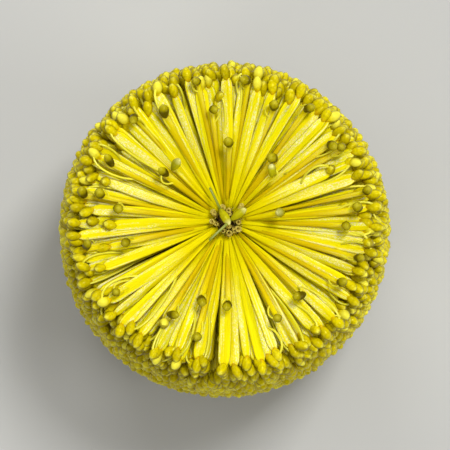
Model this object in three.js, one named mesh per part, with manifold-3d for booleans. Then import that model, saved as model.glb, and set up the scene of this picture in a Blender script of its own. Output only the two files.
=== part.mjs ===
// A banksia flower: the whole flower head, cut off just under its lowest florets and standing
// on the cut. Several hundred florets stand out of a woody axis in one spiral. Each floret is a
// narrow perianth tube that ends in a swollen, egg-shaped limb. The florets of the crown lie
// outwards from the tip of the axis as a wheel of straps, a few of them stand up out of it with
// their styles looped beside them, and dry bracts and two late florets sit at its centre.
// Millimetres, +Z up along the axis, with the origin at the centre of the cut.
import * as THREE from "three";
import { mergeVertices } from "three/addons/utils/BufferGeometryUtils.js";
import Module from "manifold-3d";

const wasm = await Module();
wasm.setup();

// Driving dimensions.
const HEAD_RADIUS = 31; // over the limb tips at the waist
const CROWN_RADIUS = 27.2; // over the limb tips of the crown's rim
const FOOT_RADIUS = 27; // over the limb tips of the lowest florets
const STUB_RADIUS = 6.6; // the woody cut
const STUB_HEIGHT = 6;
const STUB_WAIST = 0.3; // how far the stub's bark draws in and flares out again
const STUB_WAIST_HEIGHT = 3.3;
const STUB_EASE = 0.4; // of the rim at the cut
const STUB_SIDES = 24;
const SEAT_GAP = 0.3; // between pieces that rest on each other
const CORE_RADIUS = 9; // the felted axis that the florets stand out of
const CORE_FOOT_RADIUS = 7.4;
const CORE_FOOT_HEIGHT = 2.5;
const CORE_TIP_RADIUS = 3.3;
const CORE_BOTTOM = STUB_HEIGHT + SEAT_GAP;
const SHOULDER_HEIGHT = 65; // where the axis starts to round off
const CORE_TOP = 77.6;
const CORE_SIDES = 12;

// The florets, by the height of their roots.
const LOWEST_ROOT = 7.8;
const HIGHEST_ROOT = CORE_TOP - 0.4;
const EVEN_FOOT = 9.9; // the spiral's first florets are lifted to this, so that the foot is even
const DROOP_TOP = 24; // below this the florets hang down towards the cut
const DROOP_DEG = -19;
const RISE_BOTTOM = 54; // above this they rise towards the crown
const RISE_DEG = 19;
const GOLDEN_DEG = 137.508; // from one floret of the spiral to the next
const FOOT_SPACING = 6.2; // between limbs round the foot
const FOOT_TOP = 17;
const SIDE_SPACING = 7.3; // on the side of the head
const CROWN_SPACING = 5.1; // round the crown
const LENGTH_JITTER = 0.7;
const SWAY_DEG = 1.4;
const ROOT_DEPTH = 1.2; // a root's reach into the axis
const LIMB_ASPECT = 1.05; // length to spacing
const LIMB_BELLY = 0.4; // where the limb is widest, from its tip

// Half widths: of the roots in millimetres, and of the rest as shares of the spacing.
const TUBE_ROOT = 0.62;
const STRAP_ROOT = 0.36;
const TUBE_NECK = 0.19;
const STRAP_NECK_WIDTH = 0.27;
const STRAP_NECK_DEPTH = 0.15;
const SIDE_LIMB = 0.47;
const CROWN_LIMB = 0.41;
const STRAPS_FROM = 61; // round tubes below, flat straps above, by the height of their roots
const STRAPS_WHOLLY = 71;

// The florets that stand up out of the crown: azimuth in degrees and reach from the axis.
const STANDING_FLORETS = [
  [6, 9.3], [32, 22.8], [51, 12.9], [67, 20.3], [88, 12.5], [98, 18.7], [121, 20.3],
  [144, 12.6], [155, 21.4], [175, 18.6], [193, 17.2], [214, 22.5], [239, 18.9], [252, 14.1],
  [256, 20.6], [271, 14.3], [297, 19], [315, 18.2], [330, 21.8], [343, 22.7], [357, 20.1],
];
const STANDING_ROOT_RADIUS = 3;
const STANDING_ROOT_HEIGHT = CORE_TOP - 0.9;
const STANDING_HEIGHT = CORE_TOP + 9.4;
const STANDING_UNEVEN = 1.2; // how much higher the tallest of them is
const KNEE_REACH = 0.74; // share of a floret's reach where it turns up
const KNEE_DROP = 5.8; // of the knee under the floret's height
const NECK_DROP = 2.56; // of the limb's foot under it
const NECK_BACK = 0.9; // how far the limb's foot is short of the reach
const UPTURN = 0.9; // how strongly the limb turns up from its tube
const STANDING_LIMB_LENGTH = 3.2;
const STANDING_LIMB_RADIUS = 1.05;
const STANDING_BELLY = 0.55; // share of the limb's length where it is widest
const STANDING_TUBE_RADIUS = 0.62;
const STANDING_ROOT_GIRTH = 0.45;
const STYLE_RADIUS = 0.32;
const STYLE_BOW = 3.4; // how far a style stands off beside its tube
const STYLE_LIFT = 0.4; // its rise, as a share of the bow
const STYLE_START = 0.62; // share of the tube where the style leaves it
const STYLE_PEAK = 0.6; // share of the way back to the limb where it stands off most
const STYLE_END = 1.05;

// The dry tuft on the tip of the axis.
const BRACT_SEAT_RADIUS = 2.1;
const BRACT_SEAT_HEIGHT = 0.7;
const BRACT_SEAT = CORE_TOP + SEAT_GAP;
const BRACT_TOP = BRACT_SEAT + BRACT_SEAT_HEIGHT;
const BRACT_RINGS = [
  { count: 9, radius: 1.75, lean: 0.7, height: 1.9 },
  { count: 6, radius: 1.15, lean: 0.25, height: 1.5 },
];
const BRACT_ROOT_DEPTH = 0.3;
const BRACT_ROOT_BACK = 0.2; // how far a scale's root is inside its ring
const BRACT_BELLY = 0.45; // share of a scale's length where it starts to narrow to its point
const BRACT_HALF_WIDTHS = [0.42, 0.34];

// The two late florets at the tip, in plan: each limb from its foot to its end, and its thread.
const BUD_HEIGHT = CORE_TOP + 4;
const BUD_STALK = [0.15, -0.2];
const BUDS = [
  { foot: [-1.2, 2.0], end: [0.5, -0.9], thread: [-2.9, 5.4] },
  { foot: [0.6, -0.1], end: [3.3, 1.9], thread: null },
];
const BUD_LIFT = 0.3; // of a limb's end over its foot
const BUD_RADIUS = 0.78;
const BUD_GIRTHS = [0.5, 1, 0.75]; // shares of that radius at the foot, the belly and near the end
const BUD_STATIONS = [0, 0.45, 0.8]; // shares of the limb's length where they are
const STALK_GIRTHS = [0.4, 0.45];
const TWIG_GIRTH = 0.3; // from the stalk to a limb's foot
const THREAD_GIRTHS = [0.32, 0.26];
const THREAD_LIFT = 0.9;
const STRAY_THREAD = { from: [0.1, -0.7], to: [-3, -3.6] };
const BUD_SIDES = 6;
const THREAD_SIDES = 4;

const SLIVER = 0.02; // thinner details than this are closed up where solids join
const WELD = 1e-4; // corners nearer than this are one

const COLOURS = { petal: 0xe6cf14, bract: 0x8d6a32, bud: 0xb9bd3e, wood: 0x7b6146 };

const radians = THREE.MathUtils.degToRad;
const mix = THREE.MathUtils.lerp;
const smooth = THREE.MathUtils.smoothstep;
const UP = new THREE.Vector3(0, 0, 1);

// Mulberry32: numbers from 0 to 1, the same in every run.
function seededRandom(seed) {
  let state = seed;
  return () => {
    state = (state + 0x6d2b79f5) | 0;
    let t = Math.imul(state ^ (state >>> 15), 1 | state);
    t = (t + Math.imul(t ^ (t >>> 7), 61 | t)) ^ t;
    return ((t ^ (t >>> 14)) >>> 0) / 4294967296;
  };
}

// A point at an azimuth, a distance from the axis and a height.
const polar = (azimuth, radius, z) =>
  new THREE.Vector3(radius * Math.cos(azimuth), radius * Math.sin(azimuth), z);

function toSolid(geometry) {
  const bare = geometry.clone();
  bare.deleteAttribute("normal");
  bare.deleteAttribute("uv");
  const merged = mergeVertices(bare, WELD);
  return new wasm.Manifold(
    new wasm.Mesh({
      numProp: 3,
      vertProperties: new Float32Array(merged.attributes.position.array),
      triVerts: new Uint32Array(merged.index.array),
    }),
  );
}

function toGeometry(solid) {
  const mesh = solid.getMesh();
  const geometry = new THREE.BufferGeometry();
  geometry.setAttribute("position", new THREE.BufferAttribute(mesh.vertProperties, 3));
  geometry.setIndex(new THREE.BufferAttribute(mesh.triVerts, 1));
  geometry.computeVertexNormals();
  return geometry;
}

// One body from many: slivers are closed up, loose scraps dropped and sealed hollows filled.
function fuse(solids) {
  const bodies = wasm.Manifold.union(solids).simplify(SLIVER).decompose();
  return bodies.reduce((most, body) => (body.volume() > most.volume() ? body : most));
}

// A ring of points round a centre, in the plane of two directions.
function ring(sides, centre, across, up, halfWidth, halfThickness) {
  return Array.from({ length: sides }, (_, i) => {
    const turn = (2 * Math.PI * (i + 0.5)) / sides;
    return centre
      .clone()
      .addScaledVector(across, halfWidth * Math.cos(turn))
      .addScaledVector(up, halfThickness * Math.sin(turn));
  });
}

// Triangles from one ring to the next, which may have another number of points.
function stitch(low, high, add) {
  const lowSteps = low.length > 1 ? low.length : 0;
  const highSteps = high.length > 1 ? high.length : 0;
  let i = 0;
  let j = 0;
  while (i < lowSteps || j < highSteps) {
    const here = low[i % low.length];
    const there = high[j % high.length];
    if ((i + 1) / lowSteps <= (j + 1) / highSteps) {
      add(here, low[(i + 1) % low.length], there);
      i += 1;
    } else {
      add(here, high[(j + 1) % high.length], there);
      j += 1;
    }
  }
}

// A flat end across a ring. A ring of one point is a tip and needs none.
function cap(points, add) {
  for (let i = 1; i < points.length - 1; i++) {
    add(points[0], points[i], points[i + 1]);
  }
}

// A closed skin over rings.
function skin(rings) {
  const triangles = [];
  const add = (a, b, c) => triangles.push(...a.toArray(), ...b.toArray(), ...c.toArray());
  cap(rings[0].toReversed(), add);
  for (let k = 1; k < rings.length; k++) {
    stitch(rings[k - 1], rings[k], add);
  }
  cap(rings.at(-1), add);
  const geometry = new THREE.BufferGeometry();
  geometry.setAttribute("position", new THREE.Float32BufferAttribute(triangles, 3));
  return toSolid(geometry);
}

// A solid turned round the axis, from a profile of [radius, height] that starts and ends on it.
function turned(profile, sides) {
  const outline = profile.map(([r, z]) => new THREE.Vector2(r, z));
  return toSolid(new THREE.LatheGeometry(outline, sides).rotateX(Math.PI / 2));
}

// The felted axis: its radius at a height, and its solid.
function coreRadius(z) {
  const rounded = THREE.MathUtils.clamp((z - SHOULDER_HEIGHT) / (CORE_TOP - SHOULDER_HEIGHT), 0, 1);
  return mix(CORE_TIP_RADIUS, CORE_RADIUS, Math.sqrt(1 - rounded * rounded));
}

function core() {
  const dome = [0, 0.5, 0.85, 1].map((share) => {
    const z = mix(SHOULDER_HEIGHT, CORE_TOP, share);
    return [coreRadius(z), z];
  });
  const profile = [
    [0, CORE_BOTTOM],
    [CORE_FOOT_RADIUS, CORE_BOTTOM],
    [CORE_RADIUS, CORE_BOTTOM + CORE_FOOT_HEIGHT],
    ...dome,
    [0, CORE_TOP],
  ];
  return turned(profile, CORE_SIDES);
}

// How far the florets rooted at a height have turned to those of the foot and of the crown.
const footShare = (z) => 1 - smooth(z, LOWEST_ROOT, DROOP_TOP);
const crownShare = (z) => smooth(z, RISE_BOTTOM, CORE_TOP);

// Elevation above the horizontal, reach from the axis and tip height of the floret rooted there.
const elevation = (z) => radians(DROOP_DEG * footShare(z) + RISE_DEG * crownShare(z));
const reach = (z) =>
  HEAD_RADIUS +
  (FOOT_RADIUS - HEAD_RADIUS) * footShare(z) +
  (CROWN_RADIUS - HEAD_RADIUS) * crownShare(z);
const tipHeight = (z) => z + (reach(z) - coreRadius(z)) * Math.tan(elevation(z));
const spacing = (z) =>
  SIDE_SPACING +
  (FOOT_SPACING - SIDE_SPACING) * (1 - smooth(z, LOWEST_ROOT, FOOT_TOP)) +
  (CROWN_SPACING - SIDE_SPACING) * crownShare(z);

// One floret of the spiral. Crown florets are flat four-sided straps, and the others three-sided.
function floret(z, azimuth, random) {
  const rise = elevation(z);
  const sway = radians(SWAY_DEG) * (2 * random() - 1);
  const outwards = polar(azimuth + sway, 1, 0);
  const across = new THREE.Vector3(-outwards.y, outwards.x, 0);
  const along = outwards.clone().multiplyScalar(Math.cos(rise)).setZ(Math.sin(rise));
  const up = along.clone().cross(across);
  const root = polar(azimuth, coreRadius(z) - ROOT_DEPTH, z - ROOT_DEPTH * Math.tan(rise));
  const length = (reach(z) - coreRadius(z) + ROOT_DEPTH) / Math.cos(rise) - LENGTH_JITTER * random();
  const size = spacing(z);
  const limb = size * LIMB_ASPECT;
  const flat = smooth(z, STRAPS_FROM, STRAPS_WHOLLY);
  const sides = flat > 0 ? 4 : 3;
  const rootHalf = mix(TUBE_ROOT, STRAP_ROOT, flat);
  const neckHalfWidth = size * mix(TUBE_NECK, STRAP_NECK_WIDTH, flat);
  const neckHalfDepth = size * mix(TUBE_NECK, STRAP_NECK_DEPTH, flat);
  const limbHalf = size * mix(SIDE_LIMB, CROWN_LIMB, smooth(z, RISE_BOTTOM, SHOULDER_HEIGHT));
  const at = (distance) => root.clone().addScaledVector(along, distance);
  return skin([
    ring(sides, root, across, up, rootHalf, rootHalf),
    ring(sides, at(length - limb), across, up, neckHalfWidth, neckHalfDepth),
    ring(4, at(length - LIMB_BELLY * limb), across, up, limbHalf, limbHalf),
    [at(length)],
  ]);
}

// The spiral of florets from the lowest to the crown, spaced by the area that each limb covers.
function spiral(random) {
  const florets = [];
  const probe = 0.01;
  let azimuth = 0;
  let z = LOWEST_ROOT;
  while (z < HIGHEST_ROOT) {
    florets.push(floret(Math.max(z, EVEN_FOOT), azimuth, random));
    const rise = tipHeight(z + probe) - tipHeight(z);
    const run = reach(z + probe) - reach(z);
    const stretch = Math.hypot(rise, run) / probe;
    z += spacing(z) ** 2 / (2 * Math.PI * reach(z)) / stretch;
    azimuth += radians(GOLDEN_DEG);
  }
  return florets;
}

// A tapered rod along a curve, with a radius at each step.
function rod(points, radii, sides, across, tip = null) {
  const rings = points.map((point, i) => {
    const before = points[Math.max(0, i - 1)];
    const after = points[Math.min(points.length - 1, i + 1)];
    const along = after.clone().sub(before).normalize();
    const side = across.clone().addScaledVector(along, -across.dot(along)).normalize();
    return ring(sides, point, side, along.clone().cross(side), radii[i], radii[i]);
  });
  if (tip) rings.push([tip]);
  return skin(rings);
}

// A floret that stands up out of the crown, and the style that bows out beside it into its limb.
function standingFloret(azimuthDeg, distance, side, random) {
  const azimuth = radians(azimuthDeg);
  const height = STANDING_HEIGHT + STANDING_UNEVEN * random();
  const across = polar(azimuth + Math.PI / 2, 1, 0);
  const root = polar(azimuth, STANDING_ROOT_RADIUS, STANDING_ROOT_HEIGHT);
  const knee = polar(azimuth, distance * KNEE_REACH, height - KNEE_DROP);
  const neck = polar(azimuth, distance - NECK_BACK, height - NECK_DROP);
  const curve = new THREE.CatmullRomCurve3([root, knee, neck]);
  const along = curve.getTangent(1).addScaledVector(UP, UPTURN).normalize();
  const belly = neck.clone().addScaledVector(along, STANDING_LIMB_LENGTH * STANDING_BELLY);
  const tip = neck.clone().addScaledVector(along, STANDING_LIMB_LENGTH);
  const girths = [STANDING_ROOT_GIRTH, STANDING_TUBE_RADIUS, STANDING_TUBE_RADIUS, STANDING_LIMB_RADIUS];
  const tube = rod([root, knee, neck, belly], girths, 3, across, tip);
  const start = curve.getPoint(STYLE_START);
  const peak = start
    .clone()
    .lerp(belly, STYLE_PEAK)
    .addScaledVector(across, side * STYLE_BOW)
    .addScaledVector(UP, STYLE_LIFT * STYLE_BOW);
  const end = start.clone().lerp(belly, STYLE_END);
  const style = rod([start, peak, end], [STYLE_RADIUS, STYLE_RADIUS, STYLE_RADIUS], 3, UP);
  return [tube, style];
}

function flowerHead() {
  const random = seededRandom(7);
  const standing = STANDING_FLORETS.flatMap(([azimuth, distance], i) =>
    standingFloret(azimuth, distance, i % 2 === 0 ? -1 : 1, random),
  );
  return fuse([core(), ...spiral(random), ...standing]);
}

// One dry scale, from its ring out to its point.
function bract(azimuth, { radius, lean, height }) {
  const across = polar(azimuth + Math.PI / 2, 1, 0);
  const foot = polar(azimuth, radius - BRACT_ROOT_BACK, BRACT_TOP - BRACT_ROOT_DEPTH);
  const tip = polar(azimuth, radius + lean, BRACT_TOP + height);
  return rod([foot, foot.clone().lerp(tip, BRACT_BELLY)], BRACT_HALF_WIDTHS, 4, across, tip);
}

// The dry bracts: a low seat with pointed scales in two rings, open at its centre.
function crownBracts() {
  const profile = [
    [0, BRACT_SEAT],
    [BRACT_SEAT_RADIUS, BRACT_SEAT],
    [BRACT_SEAT_RADIUS, BRACT_TOP],
    [0, BRACT_TOP],
  ];
  const scales = BRACT_RINGS.flatMap((row) =>
    Array.from({ length: row.count }, (_, i) => bract((2 * Math.PI * i) / row.count, row)),
  );
  return fuse([turned(profile, CORE_SIDES), ...scales]);
}

// The two late florets: pale limbs on one short stalk, with their thin threads.
function tipFlorets() {
  const level = ([x, y], z) => new THREE.Vector3(x, y, z);
  const join = level(BUD_STALK, BUD_HEIGHT);
  const stalkFoot = level(BUD_STALK, BRACT_TOP + SEAT_GAP);
  const thread = (from, to) =>
    rod([from, level(to, BUD_HEIGHT + THREAD_LIFT)], THREAD_GIRTHS, THREAD_SIDES, UP);
  const solids = [rod([stalkFoot, join], STALK_GIRTHS, BUD_SIDES, new THREE.Vector3(1, 0, 0))];
  for (const bud of BUDS) {
    const foot = level(bud.foot, BUD_HEIGHT);
    const end = level(bud.end, BUD_HEIGHT + BUD_LIFT);
    const points = BUD_STATIONS.map((share) => foot.clone().lerp(end, share));
    const girths = BUD_GIRTHS.map((share) => share * BUD_RADIUS);
    solids.push(rod(points, girths, BUD_SIDES, UP, end));
    solids.push(rod([join, foot], [TWIG_GIRTH, TWIG_GIRTH], BUD_SIDES, UP));
    if (bud.thread) {
      solids.push(thread(foot, bud.thread));
    }
  }
  solids.push(thread(level(STRAY_THREAD.from, BUD_HEIGHT), STRAY_THREAD.to));
  return fuse(solids);
}

// The woody stub, with its rim eased at the cut.
function stemStub() {
  const profile = [
    [0, 0],
    [STUB_RADIUS - STUB_EASE, 0],
    [STUB_RADIUS, STUB_EASE],
    [STUB_RADIUS - STUB_WAIST, STUB_WAIST_HEIGHT],
    [STUB_RADIUS + STUB_WAIST, STUB_HEIGHT],
    [0, STUB_HEIGHT],
  ];
  return turned(profile, STUB_SIDES);
}

function part(name, solid, colour, roughness) {
  const material = new THREE.MeshStandardMaterial({ color: colour, roughness, metalness: 0 });
  const mesh = new THREE.Mesh(toGeometry(solid), material);
  mesh.name = name;
  return mesh;
}

const banksia = new THREE.Group();
banksia.add(part("flower_head", flowerHead(), COLOURS.petal, 0.6));
banksia.add(part("crown_bracts", crownBracts(), COLOURS.bract, 0.9));
banksia.add(part("tip_florets", tipFlorets(), COLOURS.bud, 0.5));
banksia.add(part("stem_stub", stemStub(), COLOURS.wood, 0.85));

export default banksia;
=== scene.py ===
"""Dresses the banksia head: a felted axis, thousands of silky florets with waxy limbs
and looped styles, the dry bracts and buds in the crown, and the woody stub below."""
import math

import bpy
import numpy as np
from mathutils import Matrix, Vector


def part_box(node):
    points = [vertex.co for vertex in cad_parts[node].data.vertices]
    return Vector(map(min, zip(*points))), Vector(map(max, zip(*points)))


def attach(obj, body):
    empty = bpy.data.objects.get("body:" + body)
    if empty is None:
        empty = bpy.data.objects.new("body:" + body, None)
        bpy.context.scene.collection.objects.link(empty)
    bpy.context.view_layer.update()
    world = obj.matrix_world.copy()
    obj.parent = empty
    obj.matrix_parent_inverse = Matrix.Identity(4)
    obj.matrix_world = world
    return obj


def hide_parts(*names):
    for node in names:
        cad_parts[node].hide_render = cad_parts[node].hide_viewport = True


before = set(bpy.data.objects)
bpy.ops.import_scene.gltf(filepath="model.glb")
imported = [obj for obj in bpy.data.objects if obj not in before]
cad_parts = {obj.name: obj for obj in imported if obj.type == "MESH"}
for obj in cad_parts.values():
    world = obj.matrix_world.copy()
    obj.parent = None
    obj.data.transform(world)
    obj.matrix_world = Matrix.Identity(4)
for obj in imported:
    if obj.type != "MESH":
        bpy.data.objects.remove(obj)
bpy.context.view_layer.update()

MM = 0.001
Z_AXIS = np.array([0.0, 0.0, 1.0])

# The head's envelope, which follows its solids
HEAD_RADIUS = 31 * MM
CROWN_RADIUS = 27.2 * MM
FOOT_RADIUS = 27 * MM
CORE_RADIUS = 9 * MM
CORE_FOOT_RADIUS = 7.4 * MM
CORE_TIP_RADIUS = 3.3 * MM
SHOULDER_HEIGHT = 65 * MM
CORE_TOP = 77.6 * MM
LOWEST_ROOT = 7.8 * MM
# The florets droop below the first of these heights and rise above the second
DROOP_TOP = 24 * MM
DROOP = math.radians(-19)
RISE_BOTTOM = 54 * MM
RISE = math.radians(19)
# The head narrows towards the crown over these heights: gently, and then round its shoulder
TAPER_SPAN = (46 * MM, 72 * MM)
SHOULDER_SPAN = (66 * MM, CORE_TOP)
# The crown spreads a little further to one side
CROWN_LEAN = 0.5 * MM
CROWN_LEAN_TO = math.radians(225)

# The spiral of florets, by the heights of their roots
GOLDEN_ANGLE = math.radians(137.508)
FIRST_ROOT = 10.2 * MM
LAST_ROOT = CORE_TOP - 0.2 * MM
SIDE_SPACING = 1.88 * MM
CROWN_SPACING = 1.8 * MM
# Its layers: the lower and upper side, and the crown's under layer and top layer
WAIST = 36 * MM
CROWN_BOTTOM = 66 * MM
TOP_LAYER = 73.5 * MM
CROWN_MISSING = 0.13  # share of the top layer that hasn't grown

# What all florets share, and how they vary
LIMB_LENGTH = 3.0 * MM
LIMB_LENGTHS = (0.88, 1.08)
LIMB_WIDTHS = (0.9, 1.1)
LIMB_SUNK = 0.2  # share of the limb that is sunk into the tube's end
LIMB_MIDDLE = 0.4  # share of the limb, past the neck, where a style comes back to it
# A limb's outline: its width at the base, how fast it widens up to its belly, and its ribs
LIMB_BASE = 0.72
LIMB_WIDENING = 0.45
LIMB_BELLY = 0.6
LIMB_RIB = 0.05
TUBE_WIDTHS = (0.78, 1.2)
TUBE_DEPTHS = (0.85, 1.15)
TUBE_HUMP = 0.6 * MM
TUBE_BOW = 0.55 * MM
STUNTED_BY = (2.5 * MM, 5.5 * MM)
STUNTED_TILT = 0.45
UNEVENNESS = 0.6  # how widely they sway and lift, against what their kind says
SHORTER_POWER = 1.5  # above 1, so that most florets are nearly full length
TIP_CLEARANCE = 0.2 * MM  # how far the longest tips stay inside the envelope

# Each kind of floret, in four groups of values:
# - its tube: the master, how wide and deep it is, and how much it rolls
# - its limb: the master, its width, how far it leans up, and how much that varies
# - its style: the master and its width, the share of florets with a loop, the share of the
#   tube where it leaves, how far it bows out, and how much of that is upwards
# - how unevenly those of the spiral grow: how deep the root is, how much shorter a floret may
#   be, the share that is stunted, and how much they sway and lift
CROWN_KIND = {
    "tube": "strap", "tube_width": 1.96 * MM, "tube_depth": 0.8 * MM, "roll": 0.28,
    "limb": "fine_limb", "limb_width": 1.77 * MM, "tilt": 0.16, "spread": 0.28,
    "style": "thread", "style_width": 0.42 * MM, "looped": 0.36,
    "leave": (0.44, 0.84), "bow": (0.8 * MM, 2.9 * MM), "bow_lift": (0.4, 1.3),
    "root_depth": 2.6 * MM, "shorter": 2.1 * MM, "stunted": 0.09,
    "sway": math.radians(3.0), "lift": math.radians(2.2),
}
SIDE_KIND = {
    "tube": "side_tube", "tube_width": 1.3 * MM, "tube_depth": 1.0 * MM, "roll": 0.3,
    "limb": "plain_limb", "limb_width": 1.86 * MM, "tilt": 0.12, "spread": 0.28,
    "style": "plain_thread", "style_width": 0.36 * MM, "looped": 0.5,
    "leave": (0.66, 0.88), "bow": (0.5 * MM, 1.2 * MM), "bow_lift": (0.1, 0.7),
    "root_depth": 0.8 * MM, "shorter": 1.6 * MM, "stunted": 0.0,
    "sway": math.radians(1.3), "lift": math.radians(1.6),
}
STANDING_KIND = {
    "tube": "bent_tube", "tube_width": 1.2 * MM, "tube_depth": 0.9 * MM, "roll": 0.2,
    "limb": "fine_limb", "limb_width": 1.72 * MM, "tilt": 0.0, "spread": 0.1,
    "style": "thread", "style_width": 0.32 * MM, "looped": 0.9,
    "leave": (0.5, 0.72), "bow": (0.7 * MM, 1.9 * MM), "bow_lift": (-0.6, 0.3),
}
# A loop's handles: how far along its span they are, and how far the second one bows out
LOOP_RISE = 0.35
LOOP_RETURN = 0.98
LOOP_FULLNESS = 1.15

# Florets of the crown that stand up out of it: azimuth in degrees, reach in millimetres
STANDING_SPOTS = [
    (4, 22.3), (11, 23.9), (32, 22.8), (36, 21.4), (51, 12.9), (54, 22.7), (67, 20.3),
    (81, 23.6), (88, 12.5), (98, 18.7), (102, 23.6), (121, 20.3), (132, 23.3), (144, 12.6),
    (155, 21.4), (170, 21.6), (171, 24.4), (175, 18.6), (192, 24.2), (193, 17.2), (214, 22.5),
    (239, 18.9), (252, 14.1), (256, 20.6), (271, 14.3), (297, 19), (315, 18.2), (330, 21.8),
    (343, 22.7), (357, 20.1),
]
STANDING_LEAN_OUT = 0.2
STANDING_LEAN = 0.45
# The pale ones, where they lean to, in degrees, and how far for each unit they rise
PALE_SPOTS = [(6, 9.3), (44, 10.6), (137, 12.4)]
PALE_LEANS = [(200, 0.3), (92, 1.7), (42, 1.4)]
STANDING_ROOT_RADIUS = 3 * MM
STANDING_ROOT_HEIGHT = CORE_TOP - 0.5 * MM
STANDING_HEIGHT = CORE_TOP + 10.5 * MM
STANDING_UNEVEN = (-0.6 * MM, 0.4 * MM)
STANDING_LIMB_LENGTH = 2.9 * MM
STANDING_LIMB_LENGTHS = (0.9, 1.05)
# Their bend: the knee is inside and under the tip, and the tube arches a little on its way
KNEE_BACK = 0.5 * MM
KNEE_DROP = 5.0 * MM
NECK_DROP = 2.6 * MM
ARCH_SHARE = 0.85
ARCH_LIFT = 0.9 * MM

# The dry bracts in the middle of the crown: rings of hollow ends, with bristles between them
BRACT_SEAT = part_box("crown_bracts")[0].z
BRACT_TOP = BRACT_SEAT + 0.7 * MM
BRACT_RINGS = [
    {"count": 9, "radius": 1.75 * MM, "lean": 0.6 * MM, "height": 1.9 * MM},
    {"count": 6, "radius": 1.15 * MM, "lean": 0.2 * MM, "height": 1.0 * MM},
]
BRACT_RING_TURN = 0.4
BRACT_FOOT_DEPTH = 1.6 * MM
BRACT_WIDTHS = (0.7 * MM, 1.1 * MM)
BRACT_HEIGHTS = (0.75, 1.0)
BRACT_SWAY = 0.1
BRACT_LEAN = 0.22
BRACT_FACING = np.array([0.3, 0.1, 1.0])  # the way that their corners turn
# A bract end, for a length of 1: its foot, its mouth, how thick its rim is, and how deep and
# narrow its hollow is
BRACT_FOOT = 0.3
BRACT_MOUTH = 0.5
BRACT_RIM = 0.14
BRACT_HOLLOW_DEPTH = 0.6
BRACT_HOLLOW_SHARE = 0.6
BRISTLES = 36
BRISTLE_RING = (1.1 * MM, 2.5 * MM)
BRISTLE_FOOT_DEPTH = 0.8 * MM
BRISTLE_HEIGHTS = (0.9 * MM, 2.2 * MM)
BRISTLE_SPREAD = (0.1 * MM, 0.9 * MM)
BRISTLE_TWIST = 0.35
BRISTLE_WIDTHS = (0.16 * MM, 0.26 * MM)

# The two late florets, in plan and in millimetres: the stalk, each limb from its base to its
# tip, and each thread from one end to the other
BUD_HEIGHT = BRACT_SEAT + 3.7 * MM
BUD_LIFT = 0.3 * MM
BUD_WIDTH = 1.5 * MM
BUD_TINTS = (0.2, 0.5)
BUD_STALK = (0.15, -0.2)
BUD_STALK_DEPTH = 0.3 * MM
BUDS = [((-1.2, 2.0), (0.5, -0.9)), ((0.6, -0.1), (3.3, 1.9))]
BUD_THREADS = [((-1.2, 2.0), (-2.9, 5.4)), ((0.1, -0.7), (-3.0, -3.6))]
THREAD_RISE = (0.4 * MM, 0.9 * MM)
THREAD_ARCH = 0.25 * MM
STALK_WIDTH = 0.85 * MM
TWIG_WIDTHS = (0.55 * MM, 0.55 * MM)
THREAD_WIDTHS = (0.42 * MM, 0.48 * MM)
THREAD_ACROSS = (0.8, 0.6, 0.0)
THREAD_TINT = 0.8

# The woody stub, and the felted axis on it
STUB_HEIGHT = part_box("stem_stub")[1].z
STUB_RADIUS = 6.6 * MM
STUB_EASE = 0.4 * MM
STUB_EASE_HEIGHT = 0.5 * MM
STUB_WAIST = 0.3 * MM
STUB_WAIST_HEIGHT = 3.3 * MM
BARK_RIDGES = 11
BARK_TWIST = 300  # radians for each metre of height
BARK_RELIEF = 0.025
CORE_BOTTOM = STUB_HEIGHT + 0.3 * MM
# The axis's side: shares of its height where it has a ring, and how soon it is at full width
CORE_RINGS = (0, 0.06, 0.2, 0.5, 0.8)
CORE_FOOT_SHARE = 0.2
DOME_RINGS = 8
DOME_SINK = 0.5 * MM
DOME_INSET = 1.6 * MM
SMOOTH_ANGLE = math.radians(50)

# Widths of the tubes, from root to neck, and of the bristles, as (share of the length, share of
# the width)
STRAP_STEPS = [(0, 0.33), (0.1, 0.4), (0.3, 0.68), (0.6, 0.95), (0.93, 1.0), (0.97, 0.88), (1, 0.58)]
SIDE_TUBE_STEPS = [(0, 0.6), (0.55, 0.9), (0.95, 1.1), (1, 0.9)]
BENT_TUBE_STEPS = [(i / 14, 0.6 + 0.4 * min(1, i / 8)) for i in range(15)]
BRISTLE_STEPS = [(0, 1.0), (0.5, 0.8), (1, 0.3)]
# A strap's section: how square it is, and how wide its furrow is and what height it leaves
SQUARENESS = 0.35
SQUARE_LIMIT = 0.1
FURROW_HALF_ANGLE = 0.2
FURROW_HEIGHT = 0.68

# Colours are linear
GLOSS_TINT = (1.0, 0.88, 0.22, 1)
SILK_PALE = (0.90, 0.83, 0.06, 1)
# Near-white painted sheen and painted glints on the silk
PAINTED_SHEEN = (0.94, 0.90, 0.52, 1)
PAINTED_GLINT = (0.96, 0.93, 0.46, 1)
# Streaks, by how often they come round a floret and along it
FINE_LINES = (26.0, 2.5)
BROAD_BANDS = (6.0, 1.1)
SHEEN_GRAIN = (34.0, 60.0)
PAINTED_GLINT_STREAKS = (11.0, 0.8)
MOTTLE = (9.0, 6.0)
# The noise is read in another place for each floret, by its tint times this
NOISE_SHIFT = 97.0
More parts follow.
